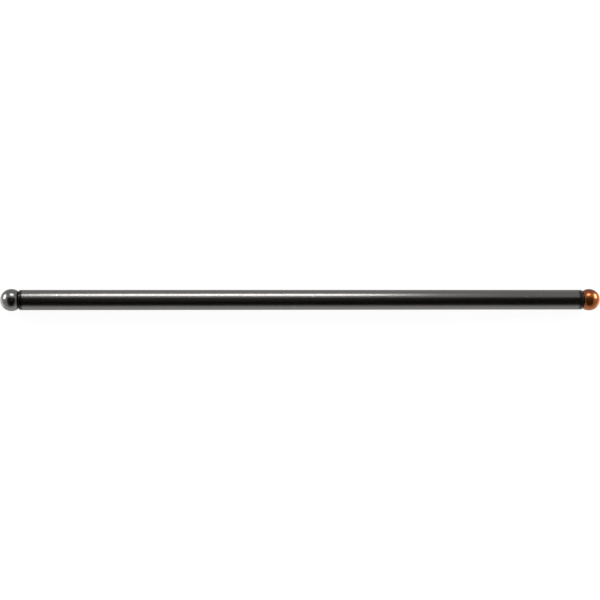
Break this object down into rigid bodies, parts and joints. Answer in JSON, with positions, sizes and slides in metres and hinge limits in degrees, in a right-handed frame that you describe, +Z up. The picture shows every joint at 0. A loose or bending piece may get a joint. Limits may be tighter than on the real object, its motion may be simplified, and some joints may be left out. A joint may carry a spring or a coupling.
{
  "type": "engine pushrod",
  "caption": "Hollow steel pushrod with a drilled ball at each end, plain at the lifter and copper-plated at the rocker, that carries valve lift and oil.",
  "frame": {"origin": "middle of the rod, on the axis, half way between the ball centres", "axes": "+X along the rod from the lifter end to the copper-plated rocker end, +Z up as the rod lies"},
  "size_m": [0.2618, 0.0096, 0.0096],
  "materials": {
    "dark_tube_steel": "drawn and polished alloy steel with a dark oxide skin",
    "polished_ball_steel": "hardened and polished bare steel",
    "copper_plated_steel": "hardened and polished steel under a thin copper plating"
  },
  "bodies": {
    "root": {"tube": "dark_tube_steel", "lifter_ball_end": "polished_ball_steel", "rocker_ball_end": "copper_plated_steel"}
  },
  "joints": []
}
